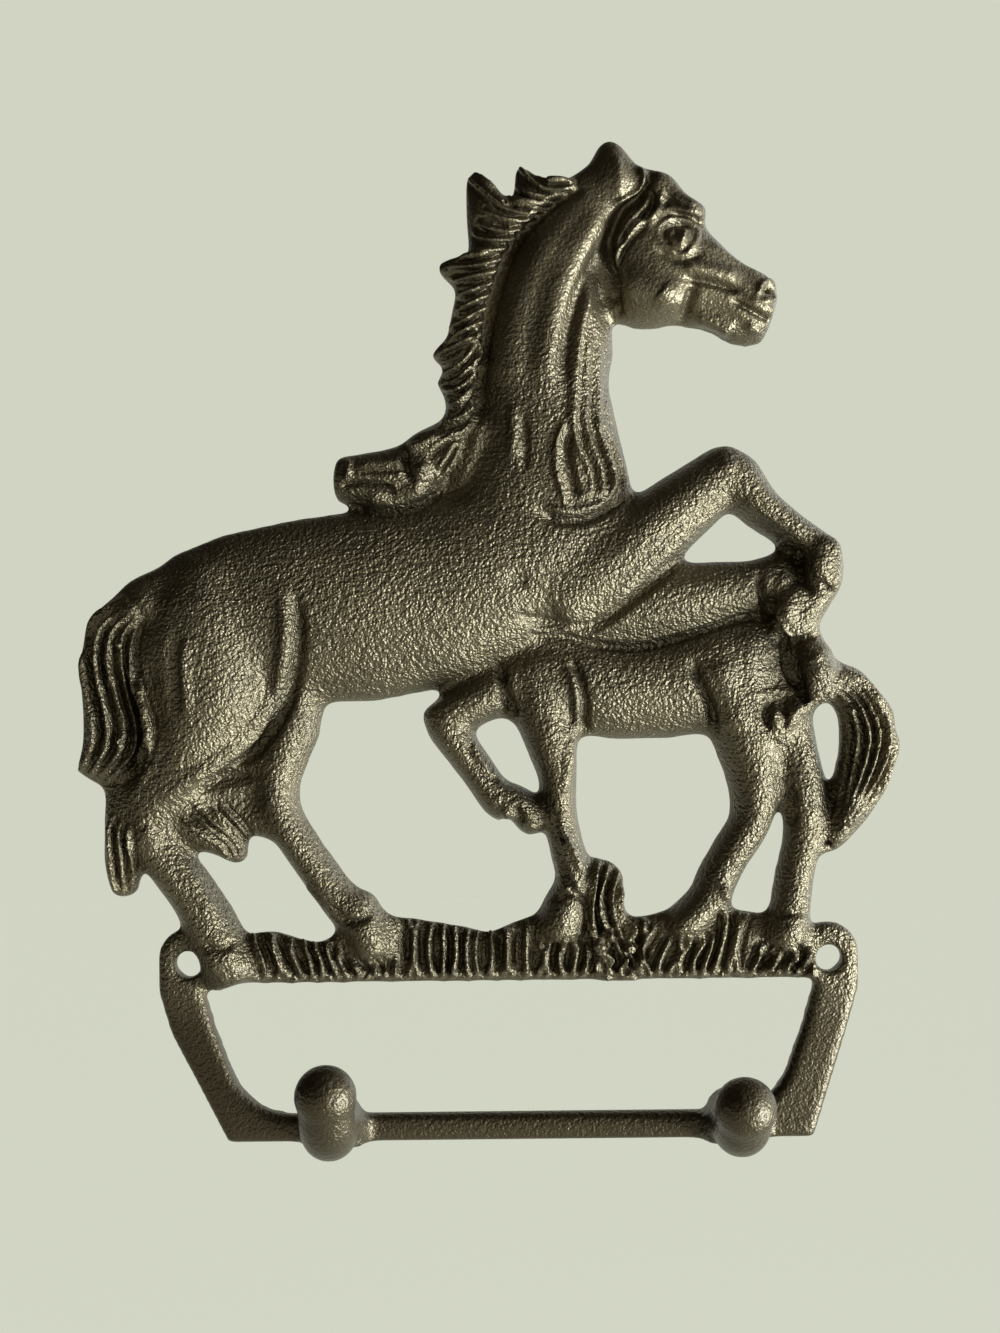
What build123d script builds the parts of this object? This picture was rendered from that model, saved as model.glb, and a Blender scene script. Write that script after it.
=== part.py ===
from build123d import *
import os
from math import cos, pi, sin

# Cast iron wall hook: a mare and her foal in half relief on a strip of grass,
# over a flat frame with two drilled ears and two stub hooks, poured as one piece.
# X runs to the right along the wall, Y into the wall and Z up.
# The origin lies on the wall, midway between the two screw holes.

# Screw holes and ears, in millimetres
hole_spacing = 141.0
hole_diameter = 6.0
ear_radius = 6.6
ear_lift = 1.2

# Frame below the grass
plate_thickness = 5.0
plate_edge_chamfer = 1.2
frame_drop = 39.4
bar_height = 5.9
bar_left_end = -62.0
bar_right_end = 66.8
leg_width = 9.8
leg_straight = 6.0
leg_knee_drop = 15.0
leg_knee_inset = 2.6
window_left_end = -57.5
window_right_end = 58.0
window_corner_radius = 14.0

# Stub hooks on the bar
hook_left = -38.6
hook_right = 49.2
hook_lift = 2.0
hook_straight = 13.8
hook_bend_radius = 9.6
left_hook_turn = 70.0
right_hook_turn = 50.0
hook_tip_run = 3.8
hook_stem_diameter = 12.0
knob_diameter = 13.2
hook_flare = 7.0
flare_waist = 0.3

# Grass strip between the ears
grass_bottom = -4.4
grass_thickness = 4.0
blade_pitch = 3.9
blade_width = 4.1
blade_relief = 2.2
blade_relief_spread = 0.25
blade_lean_step = 1.9
blade_relief_step = 1.3

# Mare and foal
figure_height = 180.5
relief_depth = 14.0
lock_sharpness = 0.4
facet_width = 7.4
fewest_facets = 5

# Size at which the tables of stations and the line of the turf are drawn
drawn_height = 180.5
drawn_depth = 14.0
drawn_spacing = 141.0

figure_scale = figure_height / drawn_height
depth_scale = relief_depth / drawn_depth
grass_scale = hole_spacing / drawn_spacing

WALL = Plane.XZ
OUT = WALL.z_dir


def directions(places):
    """Direction of travel at each place of a route, taken from its neighbours."""
    before = places[:1] + places[:-1]
    after = places[1:] + places[-1:]
    return [(end - start).normalized() for start, end in zip(before, after)]


def skin(route, profiles):
    """Flat faceted solid on the wall, with a profile of across, out points at each x, z of a route."""
    places = [Vector(x, 0, z) for x, z in route]
    rings = []
    for place, along, profile in zip(places, directions(places), profiles):
        side = OUT.cross(along)
        rings.append([place + side * across + OUT * out for across, out in profile])
    facets = [Face(Wire.make_polygon(ring)) for ring in (rings[0], rings[-1])]
    for ring, following in zip(rings, rings[1:]):
        for index, (corner, opposite) in enumerate(zip(ring, following)):
            before, opposite_before = ring[index - 1], following[index - 1]
            facets.append(Face(Wire.make_polygon([before, corner, opposite])))
            facets.append(Face(Wire.make_polygon([before, opposite, opposite_before])))
    return Solid(Shell(facets))


def arch(half_width, height, facets):
    """Profile of a rounded limb that stands on the wall."""
    turns = [index * pi / facets for index in range(facets + 1)]
    return [(-half_width * cos(turn), height * sin(turn)) for turn in turns]


def limb(*stations):
    """Rounded limb of the figure through stations of x, z, half width and height off the wall."""
    route = [(x * figure_scale, z * figure_scale) for x, z, _, _ in stations]
    sizes = [(half * figure_scale, height * depth_scale) for _, _, half, height in stations]
    girth = max(2 * half + 2 * height for half, height in sizes)
    facets = max(fewest_facets, round(girth / facet_width))
    return skin(route, [arch(half, height, facets) for half, height in sizes])


def ridge(half_width, route, crests):
    """Sharp crested lock along a route of x, z points, narrowed at its last point."""
    halves = [half_width] * (len(route) - 1) + [half_width * lock_sharpness]
    return skin(route, [[(-half, 0), (0, crest), (half, 0)] for half, crest in zip(halves, crests)])


def lock(half_width, *points):
    """Lock of hair of the figure through points of x, z and crest height off the wall."""
    route = [(x * figure_scale, z * figure_scale) for x, z, _ in points]
    return ridge(half_width * figure_scale, route, [crest * depth_scale for _, _, crest in points])


def mare_body():
    """Barrel, neck and head of the mare."""
    barrel = limb(
        (-80, 73, 9, 6), (-72, 74, 16.5, 10), (-60, 75, 20, 12), (-45, 77.3, 20.8, 12.5),
        (-30, 78.7, 21.4, 13), (-14, 81.5, 21.3, 13), (0, 87, 19.5, 13.5), (13, 91.5, 16, 13),
        (26, 95, 9, 11),
    )
    neck = limb(
        (8, 94, 22.5, 12), (9.7, 106, 19, 12.5), (9.8, 117, 15.8, 12.5), (9.3, 127, 14.4, 12),
        (10.4, 137, 14.6, 11.5), (11.7, 147, 12.8, 11.5), (14.7, 157, 11.3, 11), (19.5, 166, 9, 10),
        (23.5, 171, 6, 8),
    )
    head = limb(
        (22, 160, 10, 8), (29, 157, 14, 10.5), (36, 152.8, 14, 11.5), (42, 149.9, 11.2, 11),
        (47.5, 147.1, 9, 10), (51, 145.2, 8.4, 9.8), (54.4, 143.5, 8.9, 9.5), (57.2, 142.1, 7.9, 8.5),
        (59.5, 141.3, 5.8, 6),
    )
    jowl = limb(
        (24.5, 150, 4, 9), (27.5, 148.3, 8.2, 12), (33, 146.6, 8.1, 12.5), (38, 145.5, 6, 11.5),
        (40.5, 145, 2.5, 10),
    )
    ear = limb(
        (26.5, 165, 4.5, 9), (25.2, 171, 6.8, 11), (24.3, 175, 5.8, 9.5), (24.2, 177.7, 3.8, 8),
        (23.7, 180.4, 1.7, 5),
    )
    poll = limb(
        (17, 172, 3, 8), (24, 170.5, 4, 9), (31, 170.4, 4.6, 9.5), (36, 169.4, 4.2, 9),
        (40, 167, 2.2, 7),
    )
    forelock = limb((36, 167.5, 3, 9), (41.3, 164.8, 2.9, 10.5), (44.6, 162.8, 2.4, 9))
    return [barrel, neck, head, jowl, ear, poll, forelock]


def mare_forelegs():
    """Raised near foreleg over the straighter far foreleg."""
    near_arm = limb(
        (10, 79, 12, 12), (20, 85, 11.4, 13.5), (30, 92, 9.6, 14), (38, 98.7, 8, 13.5),
        (45, 103.8, 7.2, 12.5), (49.5, 107.3, 6.6, 11), (52.5, 109, 4, 9),
    )
    near_cannon = limb(
        (46.5, 111.5, 3.6, 9), (50.8, 106, 6.6, 12), (57, 99, 4.9, 12), (63.3, 94.2, 4.3, 11.5),
        (69, 90.2, 4.2, 11), (72, 87.5, 3.4, 9.5),
    )
    near_hoof = limb(
        (70, 91.5, 3, 10), (71.1, 87.5, 3.9, 12), (70.6, 83.3, 4.2, 11.5), (68.2, 79.5, 4.2, 11),
        (64.8, 75.5, 5.3, 12), (62.9, 72.2, 5, 11.5), (62.2, 70.6, 4, 9),
    )
    far_arm = limb(
        (8, 75, 8, 8), (20, 76.5, 8.6, 9), (32, 78.4, 9.5, 9.5), (47, 80.2, 7.8, 9.5),
        (56, 81.2, 7, 9), (62, 82.8, 7.4, 8), (67.5, 84, 5.5, 4),
    )
    far_cannon = limb(
        (60, 85, 4, 8), (63.5, 76, 4.4, 8.5), (66.8, 68.3, 4.3, 10), (70, 61.8, 4.7, 11),
        (71, 58, 3.4, 9),
    )
    far_hoof = limb(
        (72, 62.5, 3.2, 8.5), (68, 58.3, 3.3, 11), (63.8, 55.5, 3.4, 12.3), (60.2, 52.6, 4.3, 13.2),
        (59, 49.8, 3.6, 12), (58.8, 48.5, 2.8, 10),
    )
    return [near_arm, near_cannon, near_hoof, far_arm, far_cannon, far_hoof]


def mare_hind_legs():
    """Near haunch down to its hoof, and the far hind leg stepping forward."""
    haunch = limb(
        (-62, 88, 10, 10), (-64, 78, 16.5, 13), (-65, 68, 18.2, 14), (-65.2, 58, 16, 14),
        (-67.7, 50, 12.2, 13), (-72, 42.5, 9.2, 12), (-77, 35.5, 7.4, 11), (-80.2, 30.5, 5.8, 10),
        (-82, 26.5, 3.6, 8),
    )
    cannon = limb(
        (-83, 32.5, 3.6, 8.5), (-79.3, 28.3, 5.8, 10.5), (-74.5, 22, 5.6, 10), (-70, 16, 5.6, 10),
        (-66.5, 10, 6, 10), (-63.2, 3, 6.6, 10.5),
    )
    hoof = limb(
        (-64.5, 6, 5.6, 10.5), (-62.3, 1.2, 6.8, 11.5), (-60.2, -2, 7.2, 10.5),
        (-59.4, -3.8, 6.6, 8.5),
    )
    far_leg = limb(
        (-45.5, 60, 6.2, 8), (-47, 52, 6.2, 8.5), (-50.4, 43, 5.8, 9), (-50.8, 36.5, 5, 9.5),
        (-48.8, 30.5, 4.6, 9.5), (-44, 23.3, 4.4, 9.5), (-39.4, 16.7, 4.5, 9.5), (-34.4, 10.5, 5, 10),
    )
    far_hoof = limb(
        (-34.5, 14, 4.6, 10), (-31.6, 8.5, 5.2, 11), (-29.2, 3.4, 5.6, 10.5),
        (-28.4, 1.4, 4.8, 8.5),
    )
    groin = limb((-72, 37, 6, 7), (-60, 41, 7.5, 7.5), (-47, 47, 6, 7))
    web = limb((-64, 36, 4, 6.5), (-57, 33, 4.6, 6.5), (-51, 30, 3.6, 7))
    return [haunch, cannon, hoof, far_leg, far_hoof, groin, web]


def mane():
    """Mane along the crest of the neck, in broad flames that end in points, parted into locks."""
    band = limb(
        (16, 169.5, 3.6, 8.5), (7, 166, 5, 9), (0, 160, 6, 9.5), (-3.4, 151, 6, 9.5),
        (-5.8, 141, 5.8, 9.5), (-7.8, 130, 5.2, 9.5), (-8.6, 122, 4.2, 9), (-9, 116, 4.6, 9),
    )
    flames = [
        limb((8, 166, 5, 9), (6.5, 170, 3.9, 8), (4.8, 173.3, 2, 6), (4, 175.2, 1, 4)),
        limb((-1, 158, 6.5, 9), (-2.5, 165, 5.6, 9), (-4.5, 170, 3.6, 7), (-6.2, 174, 1.4, 4)),
        limb((0, 150.5, 5, 9), (-6, 151, 4.2, 8.5), (-11, 152.3, 2.9, 7), (-13.8, 153.9, 1.1, 4)),
        limb((-4, 138, 4, 9), (-9, 135.8, 3.6, 8.5), (-13, 133.9, 2.4, 7), (-15.3, 132.9, 1.1, 4)),
        limb((-5, 131, 3.5, 9), (-9.5, 128.5, 3.3, 8.5), (-13.2, 127.3, 2.2, 6), (-14.3, 127, 1.2, 4)),
    ]
    lock_half_width = 2.2
    locks = [
        ((16, 170, 10.5), (10, 170, 10.5), (4.5, 174, 5.5)),
        ((8, 163.5, 11.5), (1, 165.5, 11.5), (-6, 172.8, 5.5)),
        ((4.5, 159.5, 11.5), (-2, 161, 11), (-7, 164.5, 6.5)),
        ((1, 154.5, 11.5), (-6, 153.7, 11), (-13, 154, 5.5)),
        ((-1.5, 149, 11.5), (-6, 147.8, 11), (-10.5, 146, 6.5)),
        ((-3, 143, 11.5), (-8, 141.3, 11), (-11.8, 139.3, 6.5)),
        ((-4, 137, 11.5), (-9.5, 135.3, 11), (-14.8, 133, 5.5)),
        ((-4.5, 131, 11.5), (-9, 128.5, 11), (-13.5, 127, 6)),
        ((-5, 124, 11.5), (-9, 121.5, 11), (-12.5, 120, 6.5)),
    ]
    return [band] + flames + [lock(lock_half_width, *points) for points in locks]


def chest_hair():
    """Long locks that hang down the front of the mare's neck."""
    lock_half_width = 1.8
    locks = [
        ((12.5, 119, 12.8), (11.8, 111, 14.6), (13.2, 104, 14.6), (14, 99, 13)),
        ((16.5, 121, 12.3), (17, 112, 14.2), (18.3, 105, 14.2), (17.5, 99.5, 12.5)),
        ((20, 118, 11.2), (22.3, 111, 12.4), (24.5, 105.5, 11.8), (23.5, 101.5, 10)),
    ]
    return [lock(lock_half_width, *points) for points in locks]


def mare_tail():
    """Tail that falls behind the haunch, parted into long locks, with its lower ends."""
    fall = limb(
        (-72, 85.5, 4, 7), (-79.3, 81, 5.4, 8), (-85.2, 74, 7.1, 8.5), (-87.2, 64, 7.4, 8.5),
        (-86, 54, 7.8, 8.5), (-87.4, 46, 7.2, 7), (-91, 40.4, 5, 5),
    )
    tip = limb(
        (-83.5, 42, 5.4, 7), (-84.4, 31, 4.8, 8), (-84.8, 22, 4.6, 7.5), (-84.8, 15.2, 2.8, 5),
    )
    wisp = limb(
        (-75, 33, 5.5, 8.5), (-68.5, 30.5, 5.8, 8.5), (-62.5, 28, 5, 8), (-59.6, 24.5, 3.2, 6),
        (-59.3, 21.8, 1.4, 4),
    )
    lock_half_width = 1.9
    locks = [
        (
            (-79, 82, 9), (-87.5, 76, 9.5), (-91.8, 68, 9.5), (-91.4, 57, 9.5), (-90.8, 49, 9),
            (-94.6, 42.5, 5.5),
        ),
        (
            (-77.5, 81.5, 10), (-84.6, 75, 10.8), (-88.8, 67, 11), (-88.2, 57, 11),
            (-87.2, 49, 10.5), (-90, 41.5, 6.5),
        ),
        (
            (-76.5, 80, 11), (-82, 74, 11.5), (-85.8, 66, 11.5), (-85, 57, 11.5), (-83.6, 49, 11.5),
            (-86, 41.5, 7.5),
        ),
        (
            (-79.4, 69, 12), (-79.6, 62, 13), (-78, 55, 13.5), (-77, 48, 13), (-79.5, 41, 12),
            (-85, 33.5, 9),
        ),
        ((-86.6, 32, 8.5), (-87, 25, 10), (-86.2, 17.5, 6)),
        ((-83.5, 30, 9), (-83.2, 24, 10.5), (-83.8, 17, 6)),
        ((-71, 34.5, 10.5), (-65.5, 30.5, 11), (-60, 24, 6.5)),
        ((-68, 35.5, 10.5), (-62, 31, 11), (-57.6, 25, 6.5)),
    ]
    return [fall, tip, wisp] + [lock(lock_half_width, *points) for points in locks]


def foal_body():
    """Body of the foal under the mare, and its head over her withers."""
    barrel = limb(
        (-1, 61, 7.5, 8), (6, 60.7, 10.4, 9.5), (15, 60.2, 11.2, 10), (26, 59.3, 11, 10),
        (36, 60, 11.6, 10), (46, 62.4, 13.2, 10.5), (55, 63.6, 13, 10.5), (60.5, 62, 10.4, 9.5),
        (66, 60, 5, 8),
    )
    head = limb(
        (-37.3, 106.6, 5, 5.5), (-33, 106.4, 5.9, 7.5), (-27, 106.6, 6.6, 8.5),
        (-20, 107.8, 7, 9.5), (-12, 112, 8, 10), (-4, 119, 5, 9),
    )
    brow = limb((-21, 112.5, 2.6, 8), (-17.2, 114, 3.5, 10), (-11, 116, 3.2, 9.5))
    return [barrel, head, brow]


def foal_legs():
    """Raised and standing forelegs, and the two hind legs."""
    raised_arm = limb((4, 62, 6, 9), (-4, 58.5, 5.8, 10), (-11, 55, 5.3, 10), (-16.3, 52.6, 3.2, 8))
    raised_cannon = limb(
        (-16, 56.5, 3.4, 8), (-13, 51.6, 4.8, 10), (-9.6, 46.5, 4.3, 9.5), (-5.8, 41, 4, 9),
        (-2, 35.6, 4.2, 9.5), (0.6, 32.6, 3.4, 8.5),
    )
    raised_hoof = limb((-1.5, 37, 3, 9), (2.5, 35, 4, 9.5), (5.5, 31.5, 4.2, 10), (6.8, 28.4, 2.6, 8))
    standing_leg = limb(
        (6.5, 65, 8, 9.5), (8, 58, 8, 11), (10, 49, 6.4, 11.5), (11.2, 41, 4.5, 11),
        (11.6, 34, 3.8, 10.5), (12.6, 27, 3.9, 10.5), (14.4, 20, 4.2, 10.5), (15.2, 15, 4.2, 10.5),
    )
    standing_hoof = limb(
        (14, 16, 4, 10.5), (12.4, 11, 5.4, 11.5), (11.4, 6.5, 5.9, 11), (11, 4.4, 5, 9),
    )
    front_thigh = limb(
        (52, 68, 8, 9.5), (53, 59, 10, 11), (54, 49.5, 9.2, 11.5), (54.8, 41, 6.8, 11),
        (54.8, 34.5, 5.6, 10.5), (53.4, 29, 4.6, 10), (50.5, 25, 3.2, 8.5),
    )
    front_cannon = limb(
        (56, 33.5, 3.6, 9), (52.2, 27.4, 4.8, 10), (48.5, 21.8, 4.6, 9.5), (45.8, 16.5, 4.8, 9.5),
        (44.2, 11.5, 5, 9.5),
    )
    front_hoof = limb(
        (44.8, 13.6, 4.2, 9.5), (41, 9.8, 4.7, 10.5), (37.8, 7, 4.6, 10.5), (36.2, 5.8, 3.4, 8.5),
    )
    rear_leg = limb(
        (63, 56, 4.6, 8.5), (63.8, 46, 5.2, 9), (65.2, 38, 5.8, 9), (66.2, 30, 5.2, 8.5),
        (64.8, 23.5, 4.4, 8.5), (63.2, 17, 4.5, 8.5), (62.3, 9, 4.8, 9),
    )
    rear_hoof = limb(
        (62.5, 11, 4.6, 9), (61.4, 7, 5.7, 10.5), (60.6, 3.4, 5.8, 10), (60.2, 1.4, 4.8, 8),
    )
    return [
        raised_arm, raised_cannon, raised_hoof, standing_leg, standing_hoof,
        front_thigh, front_cannon, front_hoof, rear_leg, rear_hoof,
    ]


def foal_tail():
    """Tail of the foal, curved out and back to its rear leg, parted into long locks."""
    fall = limb(
        (68, 63, 4.5, 8), (75.5, 59.5, 5.2, 8.5), (79.4, 53.5, 6.2, 8.5), (80.4, 46.5, 6.8, 8.5),
        (78.6, 39.5, 6.4, 8.5), (75.4, 32.5, 5, 8), (71.8, 27.2, 3.8, 7.5), (69.6, 23.8, 2.2, 6.5),
    )
    lock_half_width = 1.7
    locks = [
        (
            (74, 63, 9), (81.5, 57.3, 9.8), (84.4, 49, 9.8), (83, 41, 9.8), (78.3, 33.5, 9.5),
            (72.5, 26.5, 8),
        ),
        (
            (73.5, 60.8, 10), (79.3, 55, 11), (81.6, 48, 11.2), (80, 40.5, 11.2),
            (76.3, 33.5, 10.5), (72.5, 27.5, 8.5),
        ),
        (
            (73, 58.5, 10), (76.8, 53.5, 11), (78.3, 47.5, 11.2), (76.8, 40.5, 11.2),
            (74.3, 34.5, 10.5), (72.3, 29, 9),
        ),
    ]
    return [fall] + [lock(lock_half_width, *points) for points in locks]


def turf_height(x, turf_line):
    """Height of the top of the turf at x, between the points of its line."""
    for (left, low), (right, high) in zip(turf_line, turf_line[1:]):
        if x <= right:
            return low + (high - low) * (x - left) / (right - left)
    return turf_line[-1][1]


def grass():
    """Strip of turf from ear to ear, cut into upright blades, with one tall tuft."""
    turf_line = [
        (-70.5, 4), (-58, 6), (-53, 7), (-42, 4), (-36, 7), (-26, 10), (-16, 8.5), (-4, 6), (6, 10),
        (28, 9), (38, 11), (52, 10.5), (70.5, 6),
    ]
    turf_line = [(x * grass_scale, z) for x, z in turf_line]
    left, right = turf_line[0][0], turf_line[-1][0]
    turf = Polygon((left, grass_bottom), (right, grass_bottom), *reversed(turf_line), align=None)
    forms = [extrude(WALL * turf, grass_thickness)]
    count = round((right - left) / blade_pitch)
    for index in range(1, count):
        foot = left + index * (right - left) / count
        lean = blade_pitch / 2 * sin(index * blade_lean_step)
        crest = grass_thickness + blade_relief * (1 + blade_relief_spread * sin(index * blade_relief_step))
        top = turf_height(foot + lean, turf_line)
        route = [(foot, grass_bottom), (foot + lean, top)]
        forms.append(ridge(blade_width / 2, route, [crest, crest - blade_relief / 2]))
    tuft = limb((22.5, 4, 4.6, 7), (21.6, 12, 4.2, 7), (21, 18, 3.6, 6), (20.6, 21.5, 2.6, 4.5))
    tuft_half_width = 2
    tuft_locks = [
        ((22, grass_bottom, 8), (18.5, 8, 9), (18, 16, 8), (20, 22.6, 4)),
        ((25.5, grass_bottom, 8), (21.8, 8, 9), (21.5, 15, 8), (24.2, 20.5, 4)),
        ((28.5, grass_bottom, 7), (24.8, 7, 8), (24, 13, 7), (25.2, 19, 4)),
    ]
    return forms + [tuft] + [lock(tuft_half_width, *points) for points in tuft_locks]


def frame_plate():
    """Flat frame: an ear and a sloping leg on each side, and the bar along the bottom."""
    bottom = -frame_drop
    bar_top = bottom + bar_height
    left_ear, right_ear = -hole_spacing / 2, hole_spacing / 2

    def outer_edge(ear, foot, inward):
        side = ear - inward * ear_radius
        knee = (side + inward * leg_knee_inset, -leg_knee_drop)
        return [(side, 0), (side, -leg_straight), knee, (foot, bottom)]

    def inner_edge(ear, foot, inward):
        side = ear + inward * (leg_width - ear_radius)
        knee = (side + inward * leg_knee_inset, -leg_knee_drop)
        return [(side, ear_radius), (side, -leg_straight), knee, (foot, bar_top)]

    left_outer = outer_edge(left_ear, bar_left_end, 1)
    right_outer = outer_edge(right_ear, bar_right_end, -1)
    left_inner = inner_edge(left_ear, window_left_end, 1)
    right_inner = inner_edge(right_ear, window_right_end, -1)
    outline = Polygon(*left_outer, *reversed(right_outer), align=None)
    window = Polygon(*left_inner, *reversed(right_inner), align=None)
    window = fillet(window.vertices().group_by(Axis.Y)[0], window_corner_radius)
    plate = outline - window
    for ear in (left_ear, right_ear):
        plate += Pos(ear, ear_lift) * Circle(ear_radius)
    solid = extrude(WALL * plate, plate_thickness)
    front = solid.faces().sort_by(Axis.Y)[0]
    return chamfer(front.edges(), plate_edge_chamfer)


def hook(x, turn):
    """Stub hook: a flared stem that runs out from the bar and turns up to a round knob."""
    stem = hook_stem_diameter / 2
    root = Plane((x, 0, bar_height / 2 + hook_lift - frame_drop), x_dir=(1, 0, 0), z_dir=OUT)
    run = Line((0, 0), (hook_straight, 0))
    bend = JernArc(run @ 1, run % 1, hook_bend_radius, turn)
    tip = PolarLine(bend @ 1, hook_tip_run, direction=bend % 1)
    path = Plane(root.origin, x_dir=OUT, z_dir=(-1, 0, 0)) * (run + bend + tip)
    waist = hook_flare * flare_waist
    flare_side = [(stem + hook_flare, 0), (stem + waist, waist), (stem, hook_flare)]
    other_side = [(-across, out) for across, out in reversed(flare_side)]
    flare = Polygon(*flare_side, *other_side, align=None)
    bar_middle = Vector(x, -plate_thickness / 2, bar_height / 2 - frame_drop)
    bar_section = Plane(bar_middle, x_dir=(1, 0, 0), z_dir=(0, 0, -1))
    return [
        sweep(root * Circle(stem), path=path),
        Pos(path @ 1) * Sphere(knob_diameter / 2),
        extrude(bar_section * flare, bar_height / 2, both=True),
    ]


def screw_holes():
    """Bores through the two ears and whatever of the relief lies over them."""
    bore = Rot(X=90) * Cylinder(hole_diameter / 2, 4 * relief_depth)
    return [Pos(X=side * hole_spacing / 2) * bore for side in (-1, 1)]


forms = [
    *mare_body(), *mare_forelegs(), *mare_hind_legs(), *mane(), *chest_hair(), *mare_tail(),
    *foal_body(), *foal_legs(), *foal_tail(), *grass(), frame_plate(),
    *hook(hook_left, left_hook_turn), *hook(hook_right, right_hook_turn),
]
hook_casting = forms[0].fuse(*forms[1:]).cut(*screw_holes())

os.makedirs("parts", exist_ok=True)
export_step(hook_casting, "parts/hook_casting.step")
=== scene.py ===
import math

import bmesh
import bpy
import numpy as np
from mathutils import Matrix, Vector


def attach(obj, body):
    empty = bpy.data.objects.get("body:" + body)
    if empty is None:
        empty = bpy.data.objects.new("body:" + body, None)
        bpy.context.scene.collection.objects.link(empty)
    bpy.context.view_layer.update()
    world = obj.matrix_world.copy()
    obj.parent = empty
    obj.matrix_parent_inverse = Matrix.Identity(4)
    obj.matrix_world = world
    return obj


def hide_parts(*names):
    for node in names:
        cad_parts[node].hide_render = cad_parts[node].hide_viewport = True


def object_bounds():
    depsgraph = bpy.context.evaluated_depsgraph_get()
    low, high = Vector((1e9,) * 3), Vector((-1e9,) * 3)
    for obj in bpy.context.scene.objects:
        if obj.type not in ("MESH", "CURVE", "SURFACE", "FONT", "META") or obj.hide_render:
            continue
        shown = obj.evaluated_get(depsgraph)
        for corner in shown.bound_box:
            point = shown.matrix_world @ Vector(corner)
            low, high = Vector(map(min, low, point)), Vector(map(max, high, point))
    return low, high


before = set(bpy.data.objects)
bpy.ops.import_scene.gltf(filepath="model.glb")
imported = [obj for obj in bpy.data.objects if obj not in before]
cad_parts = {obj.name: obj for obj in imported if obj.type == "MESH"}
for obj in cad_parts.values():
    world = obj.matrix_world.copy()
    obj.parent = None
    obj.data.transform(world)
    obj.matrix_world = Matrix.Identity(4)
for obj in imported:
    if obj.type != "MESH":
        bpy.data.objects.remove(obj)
cad_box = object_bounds()

# Units: the scene is in metres, and the sizes and lines of the casting are in millimetres
MM = 0.001

# Skin of the casting, made anew over the CAD mesh
weld_distance = 0.001
skin_voxel = 0.9
most_triangles = 185000
back_band = 0.45

# Rounding of the facets: passes on the animals and on the flat frame, and where the one meets the other
figure_smoothing, frame_smoothing = 40, 4
girth_rounds = 3
frame_top, ear_reach, blend_width = -6.5, 7.5, 3.0
hole_spacing = 141.0

# Places where fine hair is carved, with x, z and radius, and how far off the wall they begin
hair_places = [(18, 108, 13), (-88, 68, 12), (-85, 52, 11), (80, 52, 11), (80, 40, 9)]
hair_smoothing = 60
hair_start = 2.0

# Carving: the strength multiplies every height and depth, and the knobs lie beyond its reach
carving_strength, carving_smoothing = 1.35, 1
carving_reach = 17.0
least_facing, facing_blend = 0.2, 0.4
drawing_height, height_smoothing = 4.0, 40
line_steps = 6
line_end_fade, line_end_height = 0.12, 0.3
form_flatness = 4

# Hair and grass
lock_reach, lock_wave = 1.5, 1.05
hair_half_width, tail_half_width, blade_half_width = 1.15, 1.6, 1.35
hair_height, tail_height, blade_height = 1.0, 1.2, 1.2
tail_strands, tail_tip_strands, wisp_strands, foal_tail_strands = 5, 3, 5, 6
blades_left, blades_right, blade_pitch = -53.5, 66.0, 2.6
blade_foot, blade_bend = -2.8, 0.3
blade_spread, blade_spread_step = 0.6, 2.3
blade_sway, blade_sway_step = 0.8, 1.7

# Grain of the sand mould
peel_size, peel_height, peel_detail = 1.0, 0.65, 1
grit_size, grit_height, grit_detail = 0.5, 0.25, 2
stain_size, stain_detail = 14, 3

# Tones of the iron, with the frame's darker tone as painted shade, and how the tones and the grain change
# with the height above the screw holes
figure_tones = [(0.35, "#574d3a"), (0.65, "#635843")]
# Painted shade: the flat frame is coloured darker to stand in for the dim light it gets
frame_painted_shade_tone = "#423826"
frame_painted_shade_heights = (-14, 2)
grain_heights = (-40, 180)
grain_by_height = [(-12, 0.45), (4, 1.0), (120, 1.0), (145, 0.45)]
smoothest, roughest = 0.38, 0.5
metal_share, coat_share, coat_roughness = 0.85, 0.25, 0.3

# Sockets of a Mix node that mixes colours, which share their names with its other sockets
mix_share, mix_first, mix_second, mix_result = 0, 6, 7, 2

# Studio, in metres: the surround is shaded along light_side, and plain behind the casting
surround_colour = "#d1d4c3"
surround_shades = [(0.2, "#26241e"), (0.43, "#6a6658"), (0.73, "#f4fcfd")]
surround_strength = 2.2
light_side, light_span = (0.74, 0.14, -0.64), 0.9
backdrop_start, backdrop_full = 0.84, 0.9
lamp_colour = "#e4f2f8"
lamp_place, lamp_size, lamp_watts = (0.80, -0.34, -0.24), 0.6, 33.0
lamp_target = Vector((0, 0, 70 * MM))
floor_height = -500 * MM
floor_reach = 4.0
paper_glow, paper_glow_strength = 0.85, 1.12

# Photograph's viewpoint
image_width = 1000
camera_place = (-1.19 * MM, -400 * MM, 64.9 * MM)
camera_focal_pixels = 1800
camera_roll = math.radians(0.6)
camera_sensor_width, camera_clip_start = 36, 0.01

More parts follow.
